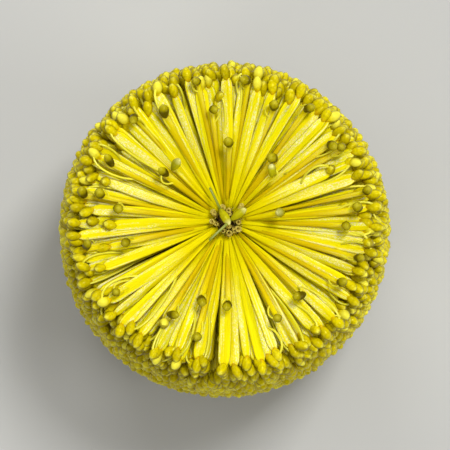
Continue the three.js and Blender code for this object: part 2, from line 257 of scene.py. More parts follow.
# The tubes: their colours at the root and on the body, that of their lines and of the painted shade
# on their sides, how silky they are and how much painted sheen and glint they carry, and the share
# of the tube that has the root's colour
PETALS = {
    "silky_petal": {"root": (0.86, 0.73, 0.001, 1), "body": (0.89, 0.78, 0.003, 1),
                    "lines_and_shade": (0.32, 0.22, 0.001, 1), "silk_and_sheen": 0.95, "root_share": 0.35},
    # The crown's under layer: a darker copy, as painted shade in the gaps between the top straps,
    # darkest at the root
    "painted_shade_petal": {"root": (0.10, 0.06, 0.001, 1), "body": (0.80, 0.66, 0.002, 1),
                    "lines_and_shade": (0.22, 0.14, 0.001, 1), "silk_and_sheen": 0.2, "root_share": 0.5},
    # The standing florets' tubes: amber, and darker as painted shade
    "amber_and_shade_petal": {"root": (0.70, 0.53, 0.001, 1), "body": (0.82, 0.70, 0.002, 1),
                    "lines_and_shade": (0.50, 0.34, 0.001, 1), "silk_and_sheen": 0.3, "root_share": 0.35},
    "side_petal": {"root": (0.66, 0.49, 0.001, 1), "body": (0.92, 0.79, 0.002, 1),
                   "lines_and_shade": (0.66, 0.50, 0.001, 1), "silk_and_sheen": 0.3, "root_share": 0.35},
}
# The limbs: their colours at the foot, on the body and at the tip, that of their mottling and of the
# painted shade on their sides, the shares of the limb that foot and tip take, how dark the painted
# shade on the sides is, and how pale the bleached ones are. The side and olive limbs' dark feet are
# painted shade between the limbs, and the pale tips are partly the limbs' own paler ends and partly
# painted highlights
LIMBS = {
    "waxy_limb": {"foot": (0.80, 0.51, 0.001, 1), "base": (0.79, 0.665, 0.001, 1),
                  "tip": (0.96, 0.90, 0.08, 1), "dark": (0.24, 0.17, 0.001, 1),
                  "foot_share": 0.12, "tip_share": 0.14, "shaded_sides": 0.75, "bleached": 0.65},
    "side_limb": {"foot": (0.36, 0.26, 0.001, 1), "base": (0.90, 0.755, 0.001, 1),
                  "tip": (1.0, 0.92, 0.06, 1), "dark": (0.24, 0.17, 0.001, 1),
                  "foot_share": 0.34, "tip_share": 0.16, "shaded_sides": 0.26, "bleached": 0.3},
    "olive_limb": {"foot": (0.06, 0.045, 0.001, 1), "base": (0.43, 0.365, 0.001, 1),
                   "tip": (0.56, 0.49, 0.02, 1), "dark": (0.16, 0.12, 0.001, 1),
                   "foot_share": 0.6, "tip_share": 0.14, "shaded_sides": 0.0, "bleached": 0.0},
    "pale_limb": {"foot": (0.36, 0.345, 0.003, 1), "base": (0.50, 0.465, 0.004, 1),
                  "tip": (0.92, 0.89, 0.34, 1), "dark": (0.26, 0.24, 0.003, 1),
                  "foot_share": 0.12, "tip_share": 0.3, "shaded_sides": 0.6, "bleached": 0.0},
}

# The camera looks down on the crown, with +Y towards the top of its view
CAMERA_TILT = math.radians(3.6)
CAMERA_SIDE = math.radians(12)
CAMERA_DISTANCE = 425 * MM
LENS = 198
AIM = Vector((-0.24 * MM, -0.69 * MM, 78 * MM))
# The lights: place in metres, size in metres and power in watts. All shine on one spot.
LIT_SPOT = Vector((0, 0, 0.05))
LIGHTS = {
    "key": ((0.125, 0.15, 0.74), 0.13, 3.3),
    "fill": ((-0.04, -0.02, 0.72), 0.3, 0.95),
    "left": ((-0.36, -0.40, 0.28), 0.25, 0.7),
    "right": ((0.52, -0.12, 0.28), 0.25, 1.05),
    "back": ((-0.14, 0.52, 0.28), 0.25, 1.2),
}

rng = np.random.default_rng(11)


# ---------------------------------------------------------------- envelope of the head

def smooth(x, low, high):
    """0 below low and 1 above high, with a smooth change between them."""
    share = np.clip((x - low) / (high - low), 0, 1)
    return share * share * (3 - 2 * share)


def core_radius(z):
    """The axis's radius at z, with its top rounded off above the shoulder."""
    rounded = np.clip((z - SHOULDER_HEIGHT) / (CORE_TOP - SHOULDER_HEIGHT), 0, 1)
    return CORE_TIP_RADIUS + (CORE_RADIUS - CORE_TIP_RADIUS) * np.sqrt(1 - rounded ** 2)


def elevation(z):
    """How steeply a floret rooted at z rises from the axis."""
    return DROOP * (1 - smooth(z, LOWEST_ROOT, DROOP_TOP)) + RISE * smooth(z, RISE_BOTTOM, CORE_TOP)


def reach(z):
    """How far from the axis a floret rooted at z ends."""
    foot = (FOOT_RADIUS - HEAD_RADIUS) * (1 - smooth(z, LOWEST_ROOT, DROOP_TOP))
    narrowed = 0.5 * smooth(z, *TAPER_SPAN) + 0.5 * smooth(z, *SHOULDER_SPAN)
    return HEAD_RADIUS + foot + (CROWN_RADIUS - HEAD_RADIUS) * narrowed


def tip_height(z):
    """The height where a floret rooted at z ends."""
    return z + (reach(z) - core_radius(z)) * np.tan(elevation(z))


def root_heights():
    """Root heights up the golden spiral, so that the limbs cover the head evenly."""
    heights = []
    z = FIRST_ROOT
    probe = 0.1 * MM
    while z < LAST_ROOT:
        heights.append(z)
        rise = float(tip_height(z + probe) - tip_height(z))
        run = float(reach(z + probe) - reach(z))
        stretch = math.hypot(rise, run) / probe
        gap = SIDE_SPACING + (CROWN_SPACING - SIDE_SPACING) * float(smooth(z, RISE_BOTTOM, CORE_TOP))
        z += gap ** 2 / (math.tau * float(reach(z))) / stretch
    return np.array(heights)


def unit(vectors):
    return vectors / np.linalg.norm(vectors, axis=-1, keepdims=True)


def square_to(vectors, directions):
    """The vectors with what lies along the directions taken away, at length 1."""
    return unit(vectors - directions * np.sum(vectors * directions, axis=-1, keepdims=True))


def polar(azimuth, radius, height):
    """Points round the axis. The radius and the height may each be one for all."""
    azimuth, radius, height = np.broadcast_arrays(azimuth, radius, height)
    return np.stack([radius * np.cos(azimuth), radius * np.sin(azimuth), height], axis=-1)


# ---------------------------------------------------------------- modelling by hand

def clear_selection():
    if bpy.context.mode != "OBJECT":
        bpy.ops.object.mode_set(mode="OBJECT")
    bpy.ops.object.select_all(action="DESELECT")


def grow_rings(steps):
    """Extrudes the selected rim through (height, width) steps, each width against the one before."""
    height, width = steps[0]
    for next_height, next_width in steps[1:]:
        bpy.ops.mesh.extrude_region_move(
            TRANSFORM_OT_translate={"value": (0, 0, next_height - height)})
        share = next_width / width
        bpy.ops.transform.resize(value=(share, share, 1))
        height, width = next_height, next_width


def finish_mesh(name):
    """Leaves edit mode with the normals pointing out, and names the object."""
    bpy.ops.mesh.select_all(action="SELECT")
    bpy.ops.mesh.normals_make_consistent(inside=False)
    bpy.ops.object.mode_set(mode="OBJECT")
    bpy.context.object.name = name
    return bpy.context.object


def angle_of(corner):
    return math.atan2(corner.co.y, corner.co.x)


def widen(corner, across, up):
    """Moves a corner away from the Z axis, by a share across and a share up."""
    corner.co.x *= across
    corner.co.y *= up


def model_tube(name, sides, steps):
    """A closed tube along Z: a circle extruded through (height, width) steps."""
    clear_selection()
    bpy.ops.mesh.primitive_circle_add(vertices=sides, radius=0.5, fill_type="NGON")
    bpy.ops.object.mode_set(mode="EDIT")
    bpy.ops.mesh.select_all(action="SELECT")
    first_width = steps[0][1]
    bpy.ops.transform.resize(value=(first_width, first_width, 1))
    grow_rings(steps)
    return finish_mesh(name)


def model_thread(name, sides, rings):
    """A tube of one width, from 0 to 1, with enough rings to bend in a loop."""
    return model_tube(name, sides, [(i / rings, 1.0) for i in range(rings + 1)])


def squared_off(share):
    """How much further out a corner lies in a squared section, by its angle's cosine or sine."""
    return max(abs(share), SQUARE_LIMIT) ** -SQUARENESS


def model_strap():
    """A crown floret's tube: squared off, with a furrow down the middle of its upper face."""
    strap = model_tube("strap", sides=12, steps=STRAP_STEPS)
    for corner in strap.data.vertices:
        angle = angle_of(corner)
        up = squared_off(math.sin(angle))
        in_furrow = abs(angle - math.pi / 2) < FURROW_HALF_ANGLE
        widen(corner, squared_off(math.cos(angle)), FURROW_HEIGHT * up if in_furrow else up)
    return strap


def model_limb(name, segments, rings):
    """The egg-shaped limb along Z, from 0 to 1, with four shallow ribs, one to each lobe."""
    clear_selection()
    bpy.ops.mesh.primitive_uv_sphere_add(
        segments=segments, ring_count=rings, radius=0.5, location=(0, 0, 0.5))
    bpy.ops.object.transform_apply(location=True)
    bpy.ops.object.mode_set(mode="EDIT")
    limb = finish_mesh(name)
    for corner in limb.data.vertices:
        belly = LIMB_BASE + LIMB_WIDENING * corner.co.z if corner.co.z < LIMB_BELLY else 1.0
        rib = 1 + LIMB_RIB * math.cos(4 * angle_of(corner))
        widen(corner, belly * rib, belly * rib)
    return limb


def model_bract():
    """A dry, hollow bract end along Z, from 0 to 1: a cone flared a little at its open rim."""
    clear_selection()
    bpy.ops.mesh.primitive_cone_add(
        vertices=8, radius1=BRACT_FOOT, radius2=BRACT_MOUTH, depth=1, location=(0, 0, 0.5))
    bpy.ops.object.transform_apply(location=True)
    bpy.ops.object.mode_set(mode="EDIT")
    bpy.ops.mesh.select_all(action="DESELECT")
    bpy.ops.object.mode_set(mode="OBJECT")
    for face in bpy.context.object.data.polygons:
        face.select = face.normal.z > 0.9
    bpy.ops.object.mode_set(mode="EDIT")
    bpy.ops.mesh.inset(thickness=BRACT_RIM)
    bpy.ops.mesh.extrude_region_move(
        TRANSFORM_OT_translate={"value": (0, 0, -BRACT_HOLLOW_DEPTH)})
    bpy.ops.transform.resize(value=(BRACT_HOLLOW_SHARE, BRACT_HOLLOW_SHARE, 1))
    return finish_mesh("bract")


# ---------------------------------------------------------------- copies of a master

def shape_of(master):
    """The master's corners, faces as corner rows, and each face corner's U and V."""
    mesh = master.data
    corners = np.empty(len(mesh.vertices) * 3)
    mesh.vertices.foreach_get("co", corners)
    corners = corners.reshape(-1, 3)
    loops = np.empty(len(mesh.loops), dtype=np.int32)
    mesh.loops.foreach_get("vertex_index", loops)
    sizes = np.array([len(face.vertices) for face in mesh.polygons])
    turn = np.arctan2(corners[loops, 1], corners[loops, 0]) / math.tau + 0.5
    start = 0
    for size in sizes:
        face = turn[start:start + size]
        if face.max() - face.min() > 0.5:
            face[face < 0.5] += 1
        start += size
    return {"corners": corners, "loops": loops, "sizes": sizes,
            "uv": np.stack([turn, corners[loops, 2]], axis=-1)}


def make_piece(name, shape, places, tints, material, node):
    """One mesh of all the copies. places holds every copy's corners in metres, and tints
    a random share for each copy that its material reads."""
    count, corner_count = places.shape[:2]
    offsets = np.arange(count)[:, None] * corner_count
    all_loops = (shape["loops"][None, :] + offsets).ravel().astype(np.int32)
    all_sizes = np.tile(shape["sizes"], count)
    starts = np.concatenate([[0], np.cumsum(all_sizes)[:-1]]).astype(np.int32)
    mesh = bpy.data.meshes.new(name)
    mesh.vertices.add(count * corner_count)
    mesh.vertices.foreach_set("co", places.reshape(-1).astype(np.float32))
    mesh.loops.add(len(all_loops))
    mesh.loops.foreach_set("vertex_index", all_loops)
    mesh.polygons.add(len(all_sizes))
    mesh.polygons.foreach_set("loop_start", starts)
    mesh.polygons.foreach_set("use_smooth", np.ones(len(all_sizes), dtype=bool))
    mesh.update(calc_edges=True)
    layer = mesh.uv_layers.new(name="along")
    layer.data.foreach_set("uv", np.tile(shape["uv"], (count, 1)).ravel().astype(np.float32))
    tint = mesh.attributes.new(name="tint", type="FLOAT", domain="POINT")
    tint.data.foreach_set("value", np.repeat(tints, corner_count).astype(np.float32))
    mesh.materials.append(material)
    piece = bpy.data.objects.new(name, mesh)
    bpy.context.scene.collection.objects.link(piece)
    declare(piece, node)


def declare(piece, node):
    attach(piece, "root")
    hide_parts(node)


def discard(masters):
    for master in masters:
        bpy.data.objects.remove(master)


def curve_point(controls, share):
    """Point and direction of each copy's Bezier curve of four controls, at each share."""
    back = 1 - share
    first, second, third, last = (control[:, None] for control in controls)
    point = (first * back ** 3 + second * 3 * share * back ** 2
             + third * 3 * share ** 2 * back + last * share ** 3)
    direction = ((second - first) * back ** 2 + (third - second) * 2 * share * back
                 + (last - third) * share ** 2)
    return point, unit(direction)


def lay_along(shape, controls, across, widths, depths, rolls):
    """Copies of a tube, each along its own curve and flat towards its own across."""
    corners = shape["corners"]
    centre, direction = curve_point(controls, corners[None, :, 2, None])
    level = square_to(across[:, None], direction)
    up = np.cross(direction, level)
    wide = corners[None, :, 0] * widths[:, None]
    deep = corners[None, :, 1] * depths[:, None]
    turn_cos = np.cos(rolls)[:, None]
    turn_sin = np.sin(rolls)[:, None]
    sideways = (wide * turn_cos - deep * turn_sin)[..., None]
    upwards = (wide * turn_sin + deep * turn_cos)[..., None]
    return centre + level * sideways + up * upwards


def lay_threads(shape, controls, across, widths):
    """Copies of a thin round tube, each along its own curve."""
    return lay_along(shape, controls, across, widths, widths, np.zeros(len(widths)))


def lay_limbs(shape, base, along, across, lengths, widths):
    """Copies of a limb, each from its base along its own direction."""
    up = np.cross(along, across)
    corners = shape["corners"]
    return (base[:, None]
            + along[:, None] * (corners[None, :, 2] * lengths[:, None])[..., None]
            + across[:, None] * (corners[None, :, 0] * widths[:, None])[..., None]
            + up[:, None] * (corners[None, :, 1] * widths[:, None])[..., None])


def tilted(run, tilts, swings):
    """The florets' directions leant up by tilts and sideways by swings, and their acrosses."""
    leant = unit(run["along"] + run["up"] * np.tan(tilts)[:, None]
                 + run["across"] * np.tan(swings)[:, None])
    return leant, square_to(run["across"], leant)


# ---------------------------------------------------------------- nodes of the materials

def new_material(name, roughness, specular=0.5):
    material = bpy.data.materials.new(name)
    material.use_nodes = True
    tree = material.node_tree
    shader = tree.nodes["Principled BSDF"]
    shader.inputs["Roughness"].default_value = roughness
    shader.inputs["Specular IOR Level"].default_value = specular
    return material, tree, shader


def add_node(tree, kind, **values):
    """A node with its named properties and, by socket name, its input values set."""
    node = tree.nodes.new(kind)
    for key, value in values.items():
        if hasattr(node, key):
            setattr(node, key, value)
        else:
            node.inputs[key.replace("_", " ")].default_value = value
    return node


def mix_colours(tree, factor, first, second, blend="MIX"):
    """Mixes two colours, each a socket or a value. A Mix node's colours are inputs 6 and 7."""
    node = add_node(tree, "ShaderNodeMix", data_type="RGBA", blend_type=blend)
    for number, value in ((0, factor), (6, first), (7, second)):
        if isinstance(value, bpy.types.NodeSocket):
            tree.links.new(value, node.inputs[number])
        else:
            node.inputs[number].default_value = value
    return node.outputs[2]


def scaled(tree, value, factor):
    node = add_node(tree, "ShaderNodeMath", operation="MULTIPLY")
    tree.links.new(value, node.inputs[0])
    node.inputs[1].default_value = factor
    return node.outputs[0]


def laid_over(tree, colour, share, strength, upper):
    """The upper colour over the colour below it, by a share times a strength."""
    return mix_colours(tree, scaled(tree, share, strength), colour, upper)


def both(tree, first, second):
    """The product of two shares."""
    return mix_colours(tree, 1.0, first, second, "MULTIPLY")


def ramp(tree, value, stops):
    """value through a colour ramp of (position, colour) stops."""
    node = tree.nodes.new("ShaderNodeValToRGB")
    elements = node.color_ramp.elements
    while len(elements) < len(stops):
        elements.new(0.5)
    for element, (position, colour) in zip(elements, stops):
        element.position = position
        element.color = colour
    tree.links.new(value, node.inputs["Fac"])
    return node.outputs["Color"]


def share_ramp(tree, value, stops):
    """value through a ramp of (position, share) stops."""
    return ramp(tree, value, [(position, (share, share, share, 1)) for position, share in stops])


def add_bump(tree, shader, height, strength, distance):
    bump = add_node(tree, "ShaderNodeBump", Strength=strength, Distance=distance)
    tree.links.new(height, bump.inputs["Height"])
    tree.links.new(bump.outputs[0], shader.inputs["Normal"])


def tint_of(tree):
    """The floret's own random share."""
    return add_node(tree, "ShaderNodeAttribute", attribute_name="tint").outputs["Fac"]


def place_on_floret(tree):
    """U round the floret, from 0.5 to 1 over its upper face, and V along it."""
    uv = add_node(tree, "ShaderNodeUVMap", uv_map="along")
    split = tree.nodes.new("ShaderNodeSeparateXYZ")
    tree.links.new(uv.outputs["UV"], split.inputs[0])
    return split.outputs["X"], split.outputs["Y"]


def streaks(tree, across, along, tint, often):
    """Noise drawn out along the floret, different on each one."""
    place = tree.nodes.new("ShaderNodeCombineXYZ")
    tree.links.new(scaled(tree, across, often[0]), place.inputs["X"])
    tree.links.new(scaled(tree, along, often[1]), place.inputs["Y"])
    tree.links.new(scaled(tree, tint, NOISE_SHIFT), place.inputs["Z"])
    noise = add_node(tree, "ShaderNodeTexNoise", Scale=1.0, Detail=2.0, Roughness=0.6)
    tree.links.new(place.outputs[0], noise.inputs["Vector"])
    return noise.outputs["Fac"]


def side_share(tree, across, depth):
    """How much a floret is shaded where it turns down beside its neighbours and underneath."""
    return share_ramp(tree, across, [(0.5, 1), (0.5 + depth, 0), (1 - depth, 0), (1.0, 1)])


# ---------------------------------------------------------------- materials

def silky_petal(name, root, body, lines_and_shade, silk_and_sheen, root_share):
    """The tube: deeper at its root, with fine darker lines and broad bands of pale silk, painted
    sheen and glints on the silk, and painted shade along its sides and underneath.
    """
    material, tree, shader = new_material(name, roughness=0.5, specular=0.1)
    across, along = place_on_floret(tree)
    tint = tint_of(tree)
    colour = ramp(tree, along, [(0.0, root), (root_share, root), (root_share + 0.35, body),
                                (0.97, body), (1.0, root)])
    fine = streaks(tree, across, along, tint, FINE_LINES)
    colour = laid_over(tree, colour, share_ramp(tree, fine, [(0.5, 0), (0.68, 1)]), 0.2, lines_and_shade)
    broad = share_ramp(tree, streaks(tree, across, along, tint, BROAD_BANDS), [(0.45, 1), (0.52, 0)])
    outward = share_ramp(tree, along, [(0.3, 0), (0.75, 1), (0.96, 1), (1.0, 0.3)])
    band = both(tree, broad, outward)
    colour = laid_over(tree, colour, band, silk_and_sheen, SILK_PALE)
    # Painted sheen: near-white grain in the silk's pale bands
    sheen_grain = share_ramp(tree, streaks(tree, across, along, tint, SHEEN_GRAIN), [(0.5, 0), (0.6, 1)])
    colour = laid_over(tree, colour, both(tree, sheen_grain, band), silk_and_sheen, PAINTED_SHEEN)
    # Painted glints: thin near-white streaks on the tube's outer part
    painted_glint = share_ramp(tree, streaks(tree, across, along, tint, PAINTED_GLINT_STREAKS), [(0.64, 0), (0.67, 1)])
    colour = laid_over(tree, colour, both(tree, painted_glint, outward), 0.8 * silk_and_sheen, PAINTED_GLINT)
    colour = mix_colours(tree, scaled(tree, tint, 0.2), colour, root, "MULTIPLY")
    # Painted shade where the tube turns down beside its neighbours and underneath
    colour = laid_over(tree, colour, side_share(tree, across, 0.07), 0.9, lines_and_shade)
    tree.links.new(colour, shader.inputs["Base Color"])
    add_bump(tree, shader, fine, 0.5, 0.25 * MM)
    shader.inputs["Specular Tint"].default_value = GLOSS_TINT
    shader.inputs["Subsurface Weight"].default_value = 0.35
    shader.inputs["Subsurface Radius"].default_value = (1.0, 0.8, 0.05)
    shader.inputs["Subsurface Scale"].default_value = 0.8 * MM
    return material


def waxy_limb(name, foot, base, tip, dark, foot_share, tip_share, shaded_sides, bleached):
    """A waxy limb: of another colour where it meets the tube, paler at its tip, finely mottled, with
    painted shade on its sides and underneath. Where its foot is dark, that is painted shade between
    the limbs, and its pale tip is partly its own paler end and partly a painted highlight. A few are
    bleached as pale as their tips."""
    material, tree, shader = new_material(name, roughness=0.26, specular=0.26)
    across, along = place_on_floret(tree)
    tint = tint_of(tree)
    # Foot, body and tip: a dark foot is painted shade, and the pale tip is partly a painted
    # highlight
    colour = ramp(tree, along, [(0.0, foot), (foot_share, foot), (foot_share + 0.2, base),
                                (1 - tip_share, base), (1 - 0.14 * tip_share, tip)])
    mottle = streaks(tree, across, along, tint, MOTTLE)
    colour = laid_over(tree, colour, share_ramp(tree, mottle, [(0.4, 0), (0.75, 1)]), 0.5, dark)
    outer = share_ramp(tree, along, [(0.3, 0), (0.6, 1)])
    a_few = share_ramp(tree, tint, [(0.1, 1), (0.13, 0)])
    colour = laid_over(tree, colour, both(tree, outer, a_few), bleached, tip)
    colour = laid_over(tree, colour, tint, 0.4, dark)
    # Painted shade where the limb turns down beside its neighbours and underneath
    colour = laid_over(tree, colour, side_share(tree, across, 0.13), shaded_sides, dark)
    tree.links.new(colour, shader.inputs["Base Color"])
    add_bump(tree, shader, mottle, 0.15, 0.2 * MM)
    shader.inputs["Specular Tint"].default_value = GLOSS_TINT
    return material


def glossy_style():
    """The looped styles, from pale yellow to old gold."""
    material, tree, shader = new_material("glossy_style", roughness=0.3)
    colour = mix_colours(tree, tint_of(tree), (0.94, 0.87, 0.05, 1), (0.60, 0.56, 0.01, 1))
    tree.links.new(colour, shader.inputs["Base Color"])
    return material


def pale_thread():
    """The thin styles of the late florets, pale green."""
    material, _, shader = new_material("pale_thread", roughness=0.35)
    shader.inputs["Base Color"].default_value = (0.24, 0.27, 0.02, 1)
    return material


def felt(name, dark, light, size):
    """Matted, fibrous stuff, in clumps of about size."""
    material, tree, shader = new_material(name, roughness=0.9, specular=0.1)
    place = tree.nodes.new("ShaderNodeTexCoord")
    noise = add_node(tree, "ShaderNodeTexNoise", Scale=1 / size, Detail=6.0, Roughness=0.7)
    tree.links.new(place.outputs["Object"], noise.inputs["Vector"])
    colour = ramp(tree, noise.outputs["Fac"], [(0.35, dark), (0.7, light)])
    tree.links.new(colour, shader.inputs["Base Color"])
    add_bump(tree, shader, noise.outputs["Fac"], 0.8, 0.5 * MM)
    return material


# ---------------------------------------------------------------- the florets

def place_florets(z, azimuth, kind):
    """Roots, necks and directions of the florets rooted at these heights."""
    count = len(z)
    root = polar(azimuth, core_radius(z) - kind["root_depth"], z)
    swayed = azimuth + rng.normal(0, UNEVENNESS, count) * kind["sway"]
    lifted = elevation(z) + rng.normal(0, UNEVENNESS, count) * kind["lift"]
    leant = CROWN_LEAN * np.cos(azimuth - CROWN_LEAN_TO) * smooth(z, RISE_BOTTOM, CORE_TOP)
    stunted = rng.random(count) < kind["stunted"]
    distance = reach(z) + leant - TIP_CLEARANCE
    distance -= kind["shorter"] * rng.random(count) ** SHORTER_POWER
    distance -= stunted * rng.uniform(*STUNTED_BY, count)
    tip = polar(swayed, distance, z + (distance - core_radius(z)) * np.tan(lifted))
    along = unit(tip - root)
    across = unit(np.cross(Z_AXIS, along))
    up = np.cross(along, across)
    lengths = LIMB_LENGTH * rng.uniform(*LIMB_LENGTHS, count)
    neck = tip - along * lengths[:, None] * (1 - LIMB_SUNK)
    bent = (up * rng.uniform(0, TUBE_HUMP, count)[:, None]
            + across * rng.uniform(-TUBE_BOW, TUBE_BOW, count)[:, None])
    third = (neck - root) / 3
    return {
        "controls": [root, root + third + bent, neck - third + bent, neck],
        "along": along, "across": across, "up": up, "length": lengths,
        "tint": rng.random(count), "tilt": stunted * STUNTED_TILT,
    }


def place_standing(spots, leans):
    """Florets that lie over the crown and turn up at their ends, each with its own lean."""
    azimuth = np.radians([spot[0] for spot in spots])
    distance = np.array([spot[1] for spot in spots]) * MM
    count = len(spots)
    height = STANDING_HEIGHT + rng.uniform(*STANDING_UNEVEN, count)
    root = polar(azimuth, STANDING_ROOT_RADIUS, STANDING_ROOT_HEIGHT)
    knee = polar(azimuth, distance - KNEE_BACK, height - KNEE_DROP)
    neck = polar(azimuth, distance, height - NECK_DROP)
    arch = root + (knee - root) * ARCH_SHARE + ARCH_LIFT * Z_AXIS
    along = unit(Z_AXIS + leans)
    across = square_to(polar(azimuth + math.pi / 2, 1.0, 0.0), along)
    return {
        "controls": [root, arch, knee, neck],
        "along": along, "across": across, "up": np.cross(along, across),
        "tint": rng.random(count), "tilt": np.zeros(count),
        "length": STANDING_LIMB_LENGTH * rng.uniform(*STANDING_LIMB_LENGTHS, count),
    }


def dress_tubes(name, run, kind, masters, material):
    count = len(run["tint"])
    widths = kind["tube_width"] * rng.uniform(*TUBE_WIDTHS, count)
    depths = kind["tube_depth"] * rng.uniform(*TUBE_DEPTHS, count)
    rolls = rng.normal(0, kind["roll"], count)
    shape = shape_of(masters[kind["tube"]])
    places = lay_along(shape, run["controls"], run["across"], widths, depths, rolls)
    make_piece(name, shape, places, run["tint"], material, "flower_head")


def dress_limbs(name, run, kind, masters, material):
    """Limbs on the ends of the tubes. Notes where each has its middle, for its style."""
    count = len(run["tint"])
    tilts = rng.normal(kind["tilt"], kind["spread"], count) + run["tilt"]
    swings = rng.normal(0, kind["spread"], count)
    along, across = tilted(run, tilts, swings)
    neck = run["controls"][3]
    base = neck - along * (LIMB_SUNK * run["length"])[:, None]
    widths = kind["limb_width"] * rng.uniform(*LIMB_WIDTHS, count)
    shape = shape_of(masters[kind["limb"]])
    places = lay_limbs(shape, base, along, across, run["length"], widths)
    make_piece(name, shape, places, run["tint"], material, "flower_head")
    run["limb_middle"] = neck + along * (LIMB_MIDDLE * run["length"])[:, None]


def dress_styles(name, run, kind, masters, material):
    """Looped styles beside a share of the florets: out of the tube and back into the limb."""
    chosen = np.flatnonzero(rng.random(len(run["tint"])) < kind["looped"])
    count = len(chosen)
    controls = [control[chosen] for control in run["controls"]]
    leave = rng.uniform(*kind["leave"], count)[:, None, None]
    start = curve_point(controls, leave)[0][:, 0]
    end = run["limb_middle"][chosen]
    side = rng.choice([-1.0, 1.0], count)[:, None]
    lift = rng.uniform(*kind["bow_lift"], count)[:, None]
    aside = unit(run["across"][chosen] * side + run["up"][chosen] * lift)
    bow = aside * rng.uniform(*kind["bow"], count)[:, None]
    span = end - start
    path = [start, start + span * LOOP_RISE + bow,
            start + span * LOOP_RETURN + bow * LOOP_FULLNESS, end]
    across = unit(np.cross(unit(span), aside))
    shape = shape_of(masters[kind["style"]])
    places = lay_threads(shape, path, across, np.full(count, kind["style_width"]))
    make_piece(name, shape, places, run["tint"][chosen], material, "flower_head")


def dress_florets(name, run, kind, masters, petal, limb, style):
    """The tubes, limbs and styles of one layer of florets, each in one piece."""
    dress_tubes(name + "_tubes", run, kind, masters, petal)
    dress_limbs(name + "_limbs", run, kind, masters, limb)
    dress_styles(name + "_styles", run, kind, masters, style)


def dress_spiral(masters, petals, limbs, style):
    """All the florets of the spiral, in four layers from the crown down."""
    z = root_heights()
    azimuth = GOLDEN_ANGLE * np.arange(len(z))
    kept = rng.random(len(z)) > CROWN_MISSING
    on_top = z > TOP_LAYER
    in_crown = z > CROWN_BOTTOM
    on_upper_side = z > WAIST
    layers = [
        ("crown", on_top & kept, CROWN_KIND, "silky_petal", "waxy_limb"),
        # The under layer wears the darker copy of the petal, as painted shade
        ("under", in_crown & ~on_top, CROWN_KIND, "painted_shade_petal", "waxy_limb"),
        ("upper", on_upper_side & ~in_crown, SIDE_KIND, "side_petal", "side_limb"),
        ("lower", ~on_upper_side, SIDE_KIND, "side_petal", "side_limb"),
    ]
    for name, chosen, kind, petal, limb in layers:
        run = place_florets(z[chosen], azimuth[chosen], kind)
        dress_florets(name, run, kind, masters, petals[petal], limbs[limb], style)


def dress_standing(masters, petals, limbs, style):
    """The florets that stand up out of the crown: the olive ones, and the pale ones."""
    outward = polar(np.radians([spot[0] for spot in STANDING_SPOTS]), 1.0, 0.0)
    jitter = rng.normal(0, STANDING_LEAN, outward.shape)
    jitter[:, 2] = 0
    run = place_standing(STANDING_SPOTS, outward * STANDING_LEAN_OUT + jitter)
    # Their tubes are amber and darker, the darkness painted shade
    dress_florets("standing", run, STANDING_KIND, masters, petals["amber_and_shade_petal"],
                  limbs["olive_limb"], style)
    turned = np.radians([lean[0] for lean in PALE_LEANS])
    run = place_standing(PALE_SPOTS, polar(turned, [lean[1] for lean in PALE_LEANS], 0.0))
    dress_florets("pale_standing", run, STANDING_KIND, masters, petals["silky_petal"],
                  limbs["pale_limb"], style)


def dress_head(limbs):
    """The spiral and the standing florets, as copies of seven masters."""
    masters = {
        "strap": model_strap(),
        "side_tube": model_tube("side_tube", sides=6, steps=SIDE_TUBE_STEPS),
        "bent_tube": model_tube("bent_tube", sides=8, steps=BENT_TUBE_STEPS),
        "fine_limb": model_limb("fine_limb", segments=12, rings=8),
        "plain_limb": model_limb("plain_limb", segments=8, rings=6),
        "thread": model_thread("thread", sides=5, rings=12),
        "plain_thread": model_thread("plain_thread", sides=3, rings=6),
    }
    petals = {name: silky_petal(name, **look) for name, look in PETALS.items()}
    style = glossy_style()
    dress_spiral(masters, petals, limbs, style)
    dress_standing(masters, petals, limbs, style)
    discard(masters.values())


# ---------------------------------------------------------------- the late florets and bracts

def level_points(spots, height):
    """Points at one height over spots in millimetres."""
    return np.array([[x * MM, y * MM, height] for x, y in spots])


def dress_bud_limbs(bases, material):
    master = model_limb("bud_limb", segments=16, rings=12)
    tips = level_points([tip for _, tip in BUDS], BUD_HEIGHT + BUD_LIFT)
    along = unit(tips - bases)
    across = unit(np.cross(Z_AXIS, along))
    lengths = np.linalg.norm(tips - bases, axis=1)
    widths = np.full(len(bases), BUD_WIDTH)
    shape = shape_of(master)
    places = lay_limbs(shape, bases, along, across, lengths, widths)
    make_piece("bud_limbs", shape, places, np.array(BUD_TINTS), material, "tip_florets")
    discard([master])


def dress_bud_threads(bases, material):
    """The stalk, a twig from it to each limb, and the two threads."""
    master = model_thread("bud_thread", sides=8, rings=10)
    join = level_points([BUD_STALK], BUD_HEIGHT)
    foot = level_points([BUD_STALK], BRACT_TOP - BUD_STALK_DEPTH)
    thread_starts = level_points([start for start, _ in BUD_THREADS], BUD_HEIGHT + THREAD_RISE[0])
    thread_ends = level_points([end for _, end in BUD_THREADS], BUD_HEIGHT + THREAD_RISE[1])
    starts = np.concatenate([foot, join, join, thread_starts])
    ends = np.concatenate([join, bases, thread_ends])
    third = (ends - starts) / 3
    arch = THREAD_ARCH * Z_AXIS
    controls = [starts, starts + third + arch, ends - third + arch, ends]
    widths = np.array([STALK_WIDTH, *TWIG_WIDTHS, *THREAD_WIDTHS])
    across = np.tile(THREAD_ACROSS, (len(starts), 1))
    shape = shape_of(master)
    places = lay_threads(shape, controls, across, widths)
    tints = np.full(len(starts), THREAD_TINT)
    make_piece("bud_threads", shape, places, tints, material, "tip_florets")
    discard([master])


def dress_buds(limb_material, thread_material):
    """The two late florets: pale limbs on one short stalk, with their threads."""
    bases = level_points([base for base, _ in BUDS], BUD_HEIGHT)
    dress_bud_limbs(bases, limb_material)
    dress_bud_threads(bases, thread_material)


